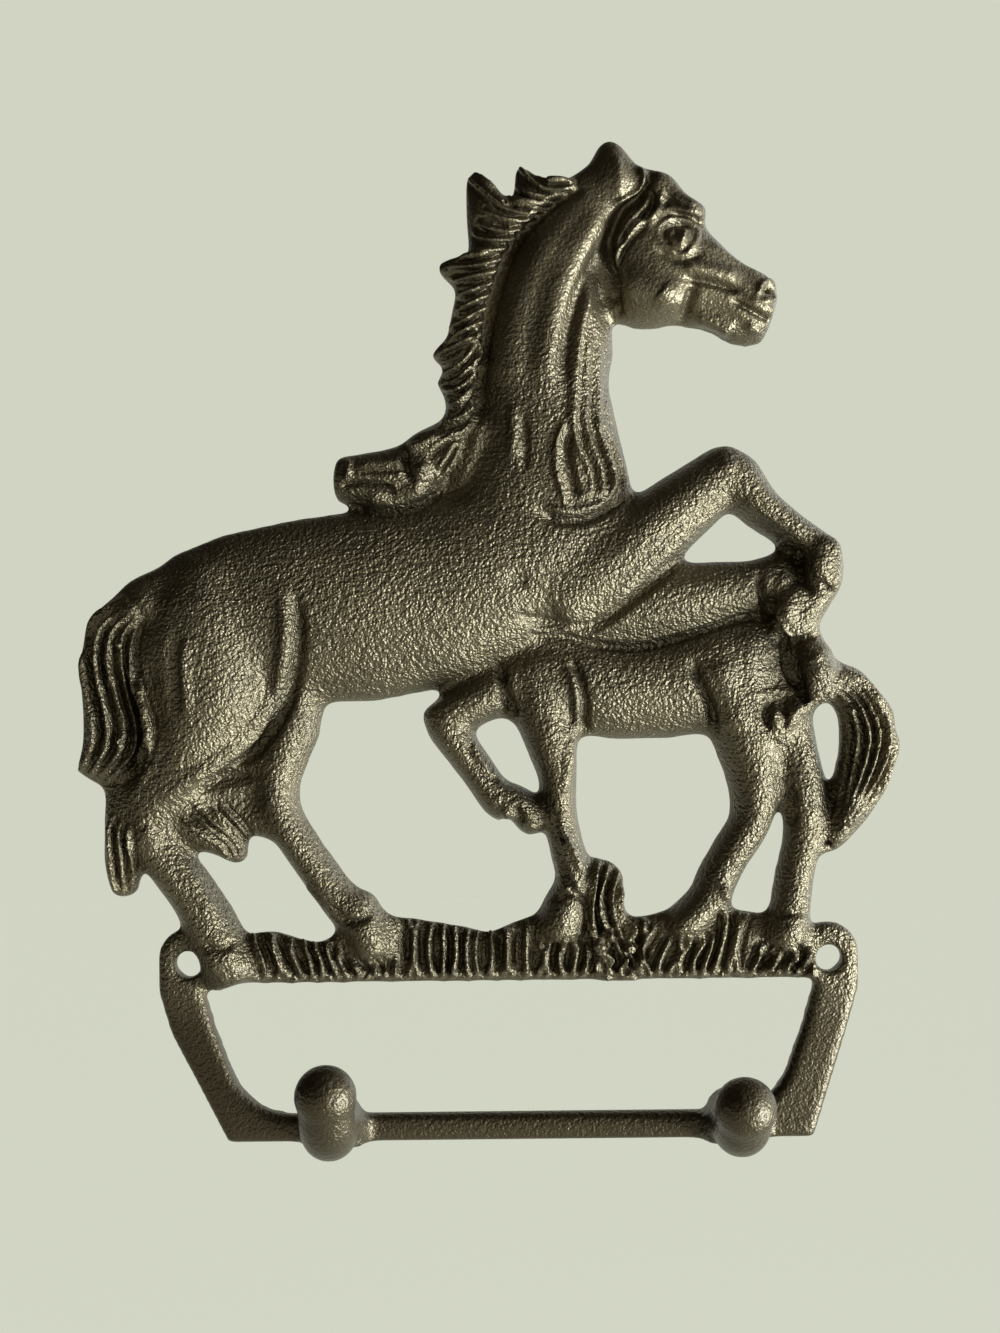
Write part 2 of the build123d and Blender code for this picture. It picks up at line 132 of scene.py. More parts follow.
# Lines of the mare's head and neck: half width, height or depth, and x, z points as the camera sees them
head_ridges = [
    (2.8, 1.2, [(39.4, 159.0), (40.4, 158.8)]),
    (1.1, 0.5, [(34.6, 160.6), (36.2, 162.3), (38.8, 163.0), (41.5, 162.6), (43.2, 161.2)]),
    (0.8, 0.3, [(34.8, 159.6), (36.4, 157.6), (38.4, 155.6)]),
    (0.9, 0.4, [(43.4, 160.6), (42.9, 158.0), (41.0, 155.6)]),
    (1.6, 0.6, [(33.0, 161.5), (35.5, 164.6), (39.5, 165.4), (43.5, 163.8)]),
    (1.0, 0.8, [(35.3, 169.0), (35.2, 166.5), (34.0, 164.0), (32.2, 161.8)]),
    (0.9, 0.9, [(32.3, 168.5), (31.8, 165.8), (29.5, 163.6), (26.8, 160.8), (25.2, 157.5)]),
    (0.9, 1.0, [(32.3, 163.2), (29.8, 161.3), (27.6, 158.7), (25.7, 156.0), (24.6, 153.0)]),
    (2.2, 0.8, [(40.0, 152.8), (46.0, 151.5), (52.0, 150.0)]),
    (5.0, 0.8, [(35.0, 147.5), (37.5, 145.5)]),
    (1.8, 0.6, [(54.5, 145.3), (57.5, 143.4), (59.6, 142.4)]),
    (1.8, 0.7, [(54.0, 139.6), (56.4, 138.0)]),
    (3.2, 1.6, [(42.6, 140.8), (47.0, 139.8), (50.5, 137.8)]),
    (0.9, 0.8, [(56.4, 146.2), (57.2, 148.4), (59.2, 148.8), (60.2, 147.0)]),
    (0.9, 0.7, [(57.2, 145.0), (59.2, 144.8), (60.4, 145.8)]),
    (1.2, 0.4, [(46.0, 157.5), (51.0, 153.8), (57.0, 150.6)]),
    (1.0, 0.9, [(30.6, 174.2), (31.6, 171.6), (30.6, 169.4), (28.2, 167.6), (25.2, 166.6)]),
    (1.6, 0.4, [(26.0, 168.5), (26.2, 173.0), (25.4, 177.0)]),
]
head_grooves = [
    (1.6, 2.2, [(33, 175), (33, 171.5), (31.2, 168.3), (27.5, 165.8), (24.8, 162.3), (23.6, 158),
                (23.8, 154)]),
    (1.2, 1.2, [(23.8, 154.0), (24.3, 149.0), (25.0, 145.0), (26.5, 141.5)]),
    (1.1, 0.9, [(41.5, 161.6), (38.6, 162.0), (36.0, 160.9), (36.2, 158.8), (37.8, 157.0)]),
    (0.9, 0.4, [(37.8, 157.0), (39.4, 156.0), (41.2, 157.0)]),
    (1.0, 0.5, [(37.9, 159.6), (38.5, 159.6)]),
    (1.4, 0.7, [(34.5, 156.5), (37.0, 154.6), (40.5, 153.9), (44.0, 155.4)]),
    (1.0, 0.8, [(38.5, 164.0), (41.5, 163.4), (44.3, 161.8)]),
    (0.9, 0.8, [(36.5, 168.5), (38.5, 166.6), (41.5, 165.6)]),
    (0.9, 0.9, [(33.6, 169.0), (33.4, 166.0), (31.6, 163.2)]),
    (0.8, 0.8, [(32.4, 165.0), (30.5, 162.7), (28.0, 160.3), (26.3, 157.5)]),
    (0.9, 0.8, [(31.8, 161.5), (29.3, 159.3), (27.2, 156.7), (25.9, 153.5)]),
    (1.3, 1.2, [(41.0, 149.8), (46.0, 148.8), (52.0, 147.2)]),
    (1.8, 1.3, [(42.4, 148.2), (41.4, 145.0), (40.3, 142.0), (39.2, 139.4)]),
    (5.0, 1.1, [(27.0, 164.0), (23.5, 157.0), (23.0, 150.0), (24.0, 143.0)]),
    (0.9, 1.3, [(51.0, 144.9), (54.0, 143.1), (57.5, 141.0), (59.0, 140.2)]),
    (1.0, 1.5, [(58.2, 147.2), (59.0, 147.2)]),
]
neck_ridges = [
    (6.5, 1.2, [(0.5, 126), (1.5, 138), (5.5, 151), (11.5, 161)]),
    (4.5, 0.9, [(24, 165), (20, 160.5), (16, 155), (12.8, 149), (11, 142), (9.6, 134), (9, 127)]),
    (1.8, 0.8, [(20.5, 150.0), (17.5, 141.0), (16.0, 132.0), (15.8, 125.0), (15.0, 117.0)]),
    (1.4, 0.6, [(19.0, 138.0), (18.3, 128.0), (18.0, 118.0)]),
    (1.4, 0.6, [(21.0, 134.0), (20.8, 125.0), (20.8, 116.0)]),
    (1.8, 0.7, [(2.3, 122.0), (2.4, 117.0), (2.0, 111.0)]),
    (1.0, 0.8, [(13.5, 119), (11.8, 114), (11.6, 109), (12.6, 104), (13.8, 100)]),
    (0.9, 0.7, [(15.2, 120), (16.0, 114), (18.3, 109), (19.2, 105), (18.6, 102)]),
    (0.9, 0.7, [(17.2, 121), (18.8, 115), (20.8, 110), (21.8, 105), (20.6, 101.5)]),
    (0.9, 0.7, [(19.6, 121), (21.4, 115), (23.4, 110), (24.4, 105.5), (23.2, 102)]),
    (0.9, 0.7, [(21.6, 119), (23.8, 113.5), (25.8, 109), (26.6, 105.5), (25.6, 103)]),
    (1.4, 0.7, [(9.5, 100.2), (14.0, 98.8), (19.0, 99.6), (23.0, 101.0)]),
]
neck_grooves = [
    (3.0, 1.0, [(21, 155), (18.5, 149.5), (16, 143), (14.3, 136), (13.3, 128)]),
    (1.5, 1.4, [(14.6, 116.0), (14.4, 111.0), (15.4, 106.0), (16.2, 102.5)]),
    (0.8, 0.7, [(17.2, 117.0), (18.2, 112.5), (20.0, 108.0), (20.4, 104.0)]),
    (0.8, 0.7, [(20.0, 117.5), (21.4, 112.5), (23.0, 108.0), (23.2, 104.0)]),
    (0.8, 0.7, [(22.4, 117.0), (24.0, 112.0), (25.2, 108.0), (25.6, 105.0)]),
    (1.4, 0.8, [(4.5, 119.0), (5.0, 114.0), (4.8, 109.0)]),
    (1.8, 1.5, [(8.0, 98.6), (12.0, 97.0), (16.0, 96.8), (20.5, 98.0), (26.0, 101.4)]),
    (1.8, 1.5, [(17, 169.5), (12, 166.8), (8.2, 163.5), (4.5, 159.5), (2.2, 156), (0.3, 151.5), (-1.3, 147),
                (-2.6, 142), (-3.3, 137), (-4, 131), (-5, 125), (-5.5, 119)]),
]

# Crest lines of the locks of the mane
mane_hair = [
    [(16, 170.3), (11, 169.8), (7, 171.5), (4.2, 174.5)],
    [(16, 171.6), (11, 171.6), (7.5, 172.7)],
    [(14, 168.8), (9, 168.3), (5, 169.3), (3, 171.5)],
    [(11, 167.2), (6.5, 166.8), (2, 167.8), (-2.5, 170.5), (-6, 173.5)],
    [(9.8, 165.3), (5, 164.8), (0.5, 166), (-4, 169.5), (-7, 172.5)],
    [(8, 163.6), (4, 162.8), (0, 163.4), (-3, 165.2)],
    [(6, 161.8), (2.5, 160.8), (-1.5, 161), (-4.5, 162.5)],
    [(4, 159.8), (1, 158.8), (-3, 158.8), (-6, 160.5)],
    [(2, 157.2), (-2, 156.2), (-6, 155.2), (-10, 154.8), (-13.5, 154.8)],
    [(0.6, 154.8), (-3, 153.8), (-7, 153.2), (-11.5, 153.2)],
    [(-0.6, 152), (-4, 151.2), (-8, 150.4), (-11, 150.2)],
    [(-1.3, 149.8), (-5, 148.3), (-9, 146.6), (-11, 146.4)],
    [(-2.2, 147), (-5.5, 145.5), (-9, 143.4), (-11.2, 142.4)],
    [(-3.2, 144.2), (-6, 142.6), (-9.5, 140.2), (-12, 139)],
    [(-3.8, 141), (-7, 139.6), (-10, 137.4), (-12.5, 135.8)],
    [(-4.2, 138), (-8, 136.7), (-12, 134.8), (-15, 133)],
    [(-4.2, 136.2), (-5, 133), (-7, 130.8), (-9.3, 129)],
    [(-6.2, 135.6), (-8, 132.6), (-10.5, 130.3), (-13.5, 129)],
    [(-5.6, 131), (-7.5, 128), (-10, 126), (-13.5, 126)],
    [(-6, 127.5), (-8, 124.5), (-10.5, 122.8), (-12.3, 122.3)],
    [(-6.3, 123), (-8.5, 120.5), (-11, 119), (-13.5, 118.3)],
    [(-6.8, 118.5), (-9, 116.5), (-12, 115.5)],
]

# Lines of the foal's head and the mare's haunch, in the same way
foal_head_ridges = [
    (2.4, 2.2, [(-18.4, 109.4), (-17.6, 108.0)]),
    (0.9, 0.9, [(-34.0, 110.4), (-33.8, 108.4), (-34.4, 106.8)]),
    (2.6, 1.5, [(-30.0, 102.8), (-23.0, 102.4), (-17.5, 105.0)]),
    (0.8, 0.9, [(-15.5, 105.8), (-12.2, 109.0), (-9.8, 113.0)]),
    (0.8, 0.8, [(-14.5, 108.6), (-12.2, 111.6), (-10.6, 114.5)]),
    (0.9, 0.7, [(-16.0, 113.0), (-13.0, 114.8), (-10.0, 116.0)]),
    (1.2, 0.9, [(-21.0, 113.2), (-17.5, 114.2), (-14.0, 115.8)]),
    (0.9, 0.5, [(-31.0, 109.6), (-26.0, 109.9), (-22.6, 110.6)]),
]
foal_head_grooves = [
    (1.3, 1.6, [(-21.8, 113.0), (-21.6, 109.5), (-20.2, 106.0)]),
    (1.0, 1.6, [(-35.5, 105.0), (-31.0, 105.6), (-27.0, 105.0), (-24.0, 103.8)]),
    (0.9, 0.9, [(-35.4, 109.4), (-35.0, 107.6)]),
    (1.3, 1.4, [(-35.0, 100.6), (-28.0, 99.2), (-20.0, 99.9), (-14.0, 103.2)]),
    (1.6, 1.8, [(-13.4, 104.0), (-10.0, 108.0), (-8.0, 112.0), (-6.8, 117.0)]),
    (0.7, 0.8, [(-14.4, 106.8), (-12.0, 110.2), (-10.2, 113.8)]),
    (0.8, 0.9, [(-16.2, 111.4), (-13.2, 113.3), (-10.6, 115.2)]),
    (0.7, 0.5, [(-31.0, 108.2), (-26.0, 108.2), (-22.4, 108.6)]),
]
haunch_ridges = [
    (2.6, 1.2, [(-49, 81), (-48.3, 74), (-48.9, 67), (-50.4, 60.5), (-53.3, 54.5), (-57, 49.5), (-62, 45.5),
                (-68, 41.8), (-74, 37)]),
    (2.0, 0.5, [(-70.6, 71.0), (-70.8, 64.0), (-70.0, 55.5)]),
    (2.5, 0.6, [(-76.0, 32.0), (-74.0, 27.5), (-71.0, 22.0), (-67.5, 16.0), (-64.5, 10.0)]),
    (2.5, 0.7, [(-80.0, 30.0), (-77.0, 27.0)]),
    (0.9, 1.0, [(-44.3, 17.3), (-42.8, 14.5), (-41.0, 11.0)]),
]
haunch_grooves = [
    (2.2, 1.4, [(-46.3, 80), (-45.2, 74), (-45.6, 67), (-47, 60), (-49.5, 54.5), (-53, 49.5), (-57.5, 45),
                (-63, 41.5)]),
    (2.2, 0.9, [(-72.6, 72.0), (-73.0, 65.0), (-72.5, 56.0)]),
    (2.5, 1.6, [(-68.0, 39.0), (-62.0, 40.5), (-56.0, 41.5)]),
    (1.4, 1.2, [(-67.5, 4.3), (-64.0, 3.3), (-60.5, 4.5)]),
    (1.0, 1.0, [(-43.3, 17.5), (-41.6, 14.0), (-40.0, 11.0)]),
    (1.4, 1.3, [(-38.5, 12.0), (-36.0, 9.2), (-32.5, 9.3), (-30.3, 11.0)]),
]

# Outer and inner edges of the tails and of the wisp of hair, with strands laid between them
tail_edges = (
    [(-84, 81.5), (-91, 76.5), (-93.8, 70), (-93.6, 63), (-92, 54), (-92.3, 48), (-95, 42.5)],
    [(-80.5, 76), (-81.5, 70), (-80.8, 64), (-78.5, 57), (-77, 51), (-79, 45), (-84.5, 41)],
)
tail_tip_edges = (
    [(-88, 33), (-88.4, 26), (-87.6, 20), (-86, 15.5)],
    [(-82.6, 30), (-81.8, 25), (-82, 20), (-83, 15.5)],
)
wisp_edges = (
    [(-72, 31.5), (-67, 28.2), (-63.2, 25.4), (-61.6, 22.6)],
    [(-62, 35), (-58.8, 31.6), (-56.6, 28.4), (-55.6, 26)],
)
foal_tail_edges = (
    [(75.5, 64), (82, 59), (86.5, 51.8), (86.6, 45.8), (83.2, 38), (76, 29)],
    [(71, 57.4), (74, 54.6), (74.8, 50), (74.6, 45.5), (73.6, 39.5), (71.6, 31)],
)

# Lines of the mare's forelegs and the foal, in the same way as those of the head
foreleg_ridges = [
    (2.4, 0.7, [(22, 77), (30, 84.5), (38, 91.6), (46, 98), (49.5, 100)]),
    (3.0, 0.6, [(48.0, 109.5), (51.0, 108.0)]),
    (3.2, 0.8, [(69.4, 88.5), (69.8, 84.0)]),
    (3.0, 0.9, [(62.4, 78.4), (62.0, 74.0)]),
    (1.0, 0.7, [(59.9, 78.0), (60.4, 74.0), (62.6, 70.4)]),
    (2.0, 0.8, [(61.8, 84.2), (60.2, 80.6)]),
    (3.4, 1.4, [(67.6, 66.8), (70.0, 62.4)]),
    (1.4, 1.0, [(59.4, 54.6), (59.4, 51.4)]),
    (0.9, 0.9, [(59.4, 48.6), (61.2, 48.0), (62.6, 48.5)]),
]
foreleg_grooves = [
    (2.0, 1.4, [(4, 75.5), (10, 74), (16, 72.8), (21, 74), (27, 78.5), (33, 83.3), (39.5, 89)]),
    (3.0, 0.7, [(1.0, 84.5), (5.0, 83.0)]),
    (1.8, 0.9, [(54.0, 97.2), (58.0, 94.8), (62.0, 91.8)]),
    (2.4, 1.6, [(64.0, 89.6), (65.8, 86.8)]),
    (1.2, 1.3, [(66.4, 84.6), (69.0, 82.4), (72.0, 80.4)]),
    (1.2, 1.4, [(58.8, 80.5), (58.8, 76.5), (60.2, 72.6), (62.2, 69.6)]),
    (1.2, 1.6, [(62.5, 69.4), (65.0, 69.8), (68.6, 71.2)]),
    (1.4, 1.6, [(55.9, 84.8), (56.5, 81.0), (57.4, 77.3), (59.0, 74.0)]),
    (1.6, 1.4, [(59.5, 73), (61.5, 69.5), (62.6, 66), (63.6, 62), (65, 58.4), (67, 56)]),
    (1.0, 1.0, [(58.8, 57.0), (57.2, 54.0), (57.8, 50.6)]),
    (0.9, 0.9, [(60.8, 55.8), (61.6, 53.0), (61.2, 50.4)]),
]
foal_ridges = [
    (1.8, 1.0, [(14, 65), (15.6, 60.5), (15.8, 55), (14.8, 50), (13.8, 45), (13, 38)]),
    (0.8, 0.7, [(-7.3, 47.8), (-6.0, 45.0), (-3.8, 42.3)]),
    (2.2, 0.8, [(0.8, 33.5), (-0.5, 32.0)]),
    (1.0, 0.8, [(11.6, 31.0), (13.2, 27.0), (15.0, 22.5), (16.6, 18.5)]),
    (1.6, 0.8, [(47.3, 16.0), (48.0, 13.3)]),
    (5.0, 1.0, [(47.5, 66.0), (49.0, 58.0), (50.5, 50.0)]),
]
foal_grooves = [
    (1.8, 1.8, [(-1.5, 65.0), (-0.4, 61.0), (0.6, 57.0), (1.6, 53.5)]),
    (1.6, 1.4, [(14.3, 66.0), (16.2, 62.5), (17.2, 58.0), (17.3, 53.0), (17.0, 50.0)]),
    (0.9, 1.0, [(-8.3, 48.0), (-7.0, 45.0), (-4.8, 42.0), (-1.8, 39.5)]),
    (0.8, 0.7, [(-6.2, 46.5), (-5.0, 44.3), (-3.0, 42.0)]),
    (1.2, 1.2, [(1.8, 33.8), (3.0, 31.8), (2.6, 30.0)]),
    (0.9, 1.0, [(10.3, 32.0), (11.0, 29.0), (12.3, 26.0)]),
    (1.2, 0.8, [(9.5, 30.0), (11.0, 24.0), (13.0, 18.0), (14.5, 15.5)]),
    (1.2, 1.2, [(10.0, 13.3), (12.5, 14.6), (15.5, 14.4), (17.0, 12.8)]),
    (1.4, 1.4, [(6, 71.5), (14, 70.6), (22, 69.2), (30, 69), (38, 70.7), (45, 72.8), (52, 74.8),
                (57, 75.5)]),
    (1.8, 1.6, [(41.3, 65.0), (42.2, 62.0), (43.8, 58.5), (45.2, 55.0), (46.0, 50.5)]),
    (1.6, 1.6, [(62.3, 37.0), (62.6, 34.0), (62.8, 30.0)]),
    (1.2, 1.2, [(55.3, 4.5), (58.0, 2.0), (62.0, 1.2), (65.5, 2.5)]),
    (1.2, 0.8, [(56.0, 10.0), (60.0, 9.8), (66.0, 10.3)]),
    (1.0, 1.5, [(70.2, 25.5), (71.0, 24.3)]),
    (7.0, 1.6, [(60.0, 67.0), (61.0, 59.0)]),
]

# Raised joints of the forelegs: half width, height off the wall and x, z points
raised_forms = [
    (4.6, 12.0, [(71.2, 89.5), (71.2, 84.0)]),
    (5.2, 11.0, [(64.4, 78.0), (63.6, 73.8)]),
    (5.2, 11.0, [(68.6, 65.5), (69.6, 60.0)]),
]

# Grass: how far the short blades lean and how high they reach, by x, and the crest lines of the tall tuft
blade_leans = [(-54, -3.0), (-38, -2.5), (-24, 0), (12, 0.5), (32, 3.0), (56, 2.5)]
blade_tops = [
    (-53, 7.5), (-40, 5), (-37, 2), (-36, 0), (-25, 0), (-24, 9.5), (-10, 8.5), (-4, 7.5),
    (4, 9), (6, 4), (17.5, 4), (18.5, 7), (30, 9), (34, 4.5), (45, 4.5), (47, 11),
    (54.5, 10.5), (55.2, 3.5), (58, 0.8), (63, 0.5), (66, 2),
]
tuft_hair = [
    [(20.2, 22), (18.6, 16), (18.6, 9), (20.2, 3), (23, -3)],
    [(22, 20.6), (20.6, 14), (21.6, 8), (24.4, 2.5), (27, -3)],
    [(24.2, 19.5), (22.6, 14), (23.8, 8), (27, 1.5), (29.2, -3)],
    [(25, 17), (24.6, 12), (26, 7), (29, 1.5), (31, -3)],
]


def linear(hex_colour):
    """Linear colour of an sRGB hex value."""
    channels = [int(hex_colour[place:place + 2], 16) / 255 for place in (1, 3, 5)]
    return [c / 12.92 if c <= 0.04045 else ((c + 0.055) / 1.055) ** 2.4 for c in channels] + [1.0]


def node(tree, kind, settings=None, inputs=None, links=None, stops=()):
    """Adds a node with its settings, its socket values, its links and the stops of its colour ramp."""
    made = tree.nodes.new(kind)
    for name, value in (settings or {}).items():
        setattr(made, name, value)
    for name, value in (inputs or {}).items():
        made.inputs[name].default_value = value
    for name, source in (links or {}).items():
        tree.links.new(source, made.inputs[name])
    if stops:
        elements = made.color_ramp.elements
        while len(elements) < len(stops):
            elements.new(1.0)
        for element, (spot, colour) in zip(elements, stops):
            element.position = spot
            element.color = colour
    return made


def sand_cast_iron():
    """Brown iron from a sand mould: satin, with a fine orange-peel grain, weaker on the head and the frame.
    The frame is coloured darker than the animals, as painted shade for the dim light on its flat face."""
    material = bpy.data.materials.new("sand_cast_iron")
    material.use_nodes = True
    tree = material.node_tree
    tree.nodes.clear()
    place = node(tree, "ShaderNodeTexCoord").outputs["Object"]
    height = node(tree, "ShaderNodeSeparateXYZ", links={0: place}).outputs["Z"]

    stain = node(tree, "ShaderNodeTexNoise",
                 inputs={"Scale": 1 / (stain_size * MM), "Detail": stain_detail}, links={"Vector": place})
    tone = node(tree, "ShaderNodeValToRGB", links={"Fac": stain.outputs["Fac"]},
                stops=[(spot, linear(colour)) for spot, colour in figure_tones])
    # Painted shade: low down, on the frame, the colour turns to the darker frame tone
    low, high = frame_painted_shade_heights
    out_of_frame_shade = node(tree, "ShaderNodeMapRange", inputs={"From Min": low * MM, "From Max": high * MM},
                  links={"Value": height})
    colour = node(tree, "ShaderNodeMix", {"data_type": "RGBA"}, {mix_first: linear(frame_painted_shade_tone)},
                  {mix_share: out_of_frame_shade.outputs["Result"], mix_second: tone.outputs["Color"]})
    sheen = node(tree, "ShaderNodeMapRange", inputs={"To Min": smoothest, "To Max": roughest},
                 links={"Value": stain.outputs["Fac"]})

    low, high = grain_heights
    level = node(tree, "ShaderNodeMapRange", inputs={"From Min": low * MM, "From Max": high * MM},
                 links={"Value": height})
    strengths = [((spot - low) / (high - low), (share, share, share, 1)) for spot, share in grain_by_height]
    grain = node(tree, "ShaderNodeValToRGB", links={"Fac": level.outputs["Result"]}, stops=strengths)
    peel = node(tree, "ShaderNodeTexNoise", inputs={"Scale": 1 / (peel_size * MM), "Detail": peel_detail},
                links={"Vector": place})
    grit = node(tree, "ShaderNodeTexNoise", inputs={"Scale": 1 / (grit_size * MM), "Detail": grit_detail},
                links={"Vector": place})
    coarse = node(tree, "ShaderNodeBump", inputs={"Distance": peel_height * MM},
                  links={"Strength": grain.outputs["Color"], "Height": peel.outputs["Fac"]})
    fine = node(tree, "ShaderNodeBump", inputs={"Distance": grit_height * MM},
                links={"Strength": grain.outputs["Color"], "Height": grit.outputs["Fac"],
                       "Normal": coarse.outputs["Normal"]})

    shader = node(tree, "ShaderNodeBsdfPrincipled",
                  inputs={"Metallic": metal_share, "Coat Weight": coat_share,
                          "Coat Roughness": coat_roughness},
                  links={"Base Color": colour.outputs[mix_result], "Roughness": sheen.outputs["Result"],
                         "Normal": fine.outputs["Normal"], "Coat Normal": fine.outputs["Normal"]})
    node(tree, "ShaderNodeOutputMaterial", links={"Surface": shader.outputs["BSDF"]})
    return material


def merged_copy(source):
    """Copy of a CAD node's mesh with its loose triangles merged."""
    bm = bmesh.new()
    bm.from_mesh(source.data)
    bmesh.ops.remove_doubles(bm, verts=bm.verts, dist=weld_distance * MM)
    mesh = bpy.data.meshes.new("casting_skin")
    bm.to_mesh(mesh)
    bm.free()
    return mesh


def modified(mesh, kind, settings):
    """Mesh with one modifier applied to it."""
    holder = bpy.data.objects.new("casting_rough", mesh)
    bpy.context.scene.collection.objects.link(holder)
    modifier = holder.modifiers.new("step", kind)
    for name, value in settings.items():
        setattr(modifier, name, value)
    graph = bpy.context.evaluated_depsgraph_get()
    result = bpy.data.meshes.new_from_object(holder.evaluated_get(graph))
    bpy.data.objects.remove(holder)
    return result


class Skin:
    """Points and edges of a mesh in millimetres, for carving."""

    def __init__(self, mesh):
        self.mesh = mesh
        self.points = np.zeros(len(mesh.vertices) * 3)
        mesh.vertices.foreach_get("co", self.points)
        self.points = self.points.reshape(-1, 3) / MM
        self.edges = np.zeros(len(mesh.edges) * 2, int)
        mesh.edges.foreach_get("vertices", self.edges)
        self.edges = self.edges.reshape(-1, 2)
        self.count = np.bincount(self.edges.ravel(), minlength=len(self.points))[:, None]

    def averaged(self, values):
        """Mean of each point's neighbours."""
        start, end = self.edges.T
        total = np.zeros_like(values)
        for axis in range(values.shape[1]):
            total[:, axis] = np.bincount(start, values[end, axis], len(values))
            total[:, axis] += np.bincount(end, values[start, axis], len(values))
        return total / self.count

    def blurred(self, values, passes):
        """Values evened out over the skin by repeated half steps to the neighbours' mean."""
        for _ in range(passes):
            values = (values + self.averaged(values)) / 2
        return values

    def normals(self):
        """Normals of the points as they are now."""
        self.store()
        normals = np.zeros(len(self.points) * 3)
        self.mesh.vertices.foreach_get("normal", normals)
        return normals.reshape(-1, 3)

    def store(self):
        """Puts the points back into the mesh."""
        self.mesh.vertices.foreach_set("co", (self.points * MM).ravel())
        self.mesh.update()


def evened(skin, passes):
    """Points with the flat facets evened out, and the girth that this takes away given back."""
    points = skin.blurred(skin.points, passes)
    for _ in range(girth_rounds):
        points = points + skin.blurred(skin.points - points, passes)
    return points


def smooth_facets(skin):
    """Rounds the animals and the grass well, and the flat frame and its drilled ears only a little."""
    x, _, z = skin.points.T
    from_hole = np.hypot(np.abs(x) - hole_spacing / 2, z)
    share = np.minimum(z - frame_top, from_hole - ear_reach) / blend_width
    figure = np.clip(share, 0, 1)[:, None]
    frame_points = evened(skin, frame_smoothing)
    skin.points = frame_points + figure * (evened(skin, figure_smoothing) - frame_points)


def calm(skin, x, z, radius):
    """Evens out the locks of the rough form round a place, where finer hair is carved."""
    share = (radius - np.hypot(skin.points[:, 0] - x, skin.points[:, 2] - z)) / blend_width
    weight = np.clip(share, 0, 1) * (skin.points[:, 1] < -hair_start)
    depth = skin.points[:, 1:2]
    skin.points[:, 1] += weight * (skin.blurred(depth, hair_smoothing) - depth)[:, 0]


def as_seen(points, heights):
    """Where points at the given heights show from the viewpoint, on the plane of the drawn lines."""
    middle = np.array(camera_place)[[0, 2]] / MM
    distance = -camera_place[1] / MM
    scale = (distance - drawing_height) / (distance - heights)
    return middle + (points[:, [0, 2]] - middle) * np.reshape(scale, (-1, 1))


def smooth_line(points):
    """Points of a smooth line through the given ones."""
    points = np.array(points, float)
    padded = np.vstack([2 * points[0] - points[1], points, 2 * points[-1] - points[-2]])
    line = []
    for p0, p1, p2, p3 in zip(padded[:-3], padded[1:-2], padded[2:-1], padded[3:]):
        for t in np.arange(line_steps) / line_steps:
            slope = (p2 - p0) * t
            bend = (2 * p0 - 5 * p1 + 4 * p2 - p3) * t ** 2
            twist = (3 * p1 - p0 - 3 * p2 + p3) * t ** 3
            line.append(p1 + (slope + bend + twist) / 2)
    return np.array(line + [points[-1]])


def distance_to(places, line):
    """Distance of each place from a line, and how far along the line its nearest point is."""
    nearest = np.full(len(places), np.inf)
    along = np.zeros(len(places))
    for index, (start, end) in enumerate(zip(line[:-1], line[1:])):
        run = end - start
        share = np.clip(((places - start) @ run) / (run @ run), 0, 1)
        distance = np.linalg.norm(places - start - share[:, None] * run, axis=1)
        closer = distance < nearest
        nearest[closer] = distance[closer]
        along[closer] = (index + share[closer]) / (len(line) - 1)
    return nearest, along


def raise_form(skin, half_width, height, points):
    """Raises the front round a line to at least a rounded form of the given height."""
    distance, _ = distance_to(as_seen(skin.points, height), smooth_line(points))
    crown = height * np.sqrt(np.clip(1 - (distance / half_width) ** form_flatness, 0, 1))
    front = skin.normals()[:, 1] < -least_facing
    skin.points[front, 1] = np.minimum(skin.points[front, 1], -crown[front])


def rounded(share):
    """Profile of a rounded crest or hollow."""
    return np.clip(1 - share ** 2, 0, 1) ** 2


def lock_of_hair(share):
    """Profile of a lock of hair, with a hollow on each side of its crest."""
    fade = np.clip(1 - (share / lock_reach) ** 2, 0, 1)
    return np.where(share < lock_reach, np.cos(np.pi * share / lock_wave) * fade, 0)


class Carving:
    """Heights to be added along the normals of the front of the skin, fading out on its steep flanks."""

    def __init__(self, skin):
        self.skin = skin
        self.normals = skin.normals()
        facing = np.clip((-self.normals[:, 1] - least_facing) / facing_blend, 0, 1)
        self.facing = facing * (skin.points[:, 1] > -carving_reach)
        self.front = np.flatnonzero(self.facing > 0)
        heights = skin.blurred(-skin.points[:, 1:2], height_smoothing)[:, 0]
        self.places = as_seen(skin.points[self.front], heights[self.front])
        self.heights = np.zeros(len(skin.points))

    def draw(self, points, half_width, height, profile=rounded, reach=1.0):
        """Adds one line to the heights."""
        line = smooth_line(points)
        low, high = line.min(0) - half_width * reach, line.max(0) + half_width * reach
        near = np.flatnonzero(np.all((self.places > low) & (self.places < high), axis=1))
        distance, along = distance_to(self.places[near], line)
        from_end = np.clip(np.minimum(along, 1 - along) / line_end_fade, 0, 1)
        ends = from_end * (1 - line_end_height) + line_end_height
        self.heights[self.front[near]] += height * ends * profile(distance / half_width)

    def draw_locks(self, lines, half_width, height):
        """Adds locks of hair or blades of grass to the heights."""
        for points in lines:
            self.draw(points, half_width, height, lock_of_hair, lock_reach)

    def apply(self):
        """Moves the skin by the heights."""
        self.skin.points += self.normals * (carving_strength * self.heights * self.facing)[:, None]


def strands_between(edges, count):
    """Crest lines of locks of hair laid side by side between the two edges of a tail."""
    outer, inner = (np.array(edge) for edge in edges)
    shares = (np.arange(count) + 0.5) / count
    return [outer + (inner - outer) * share for share in shares]


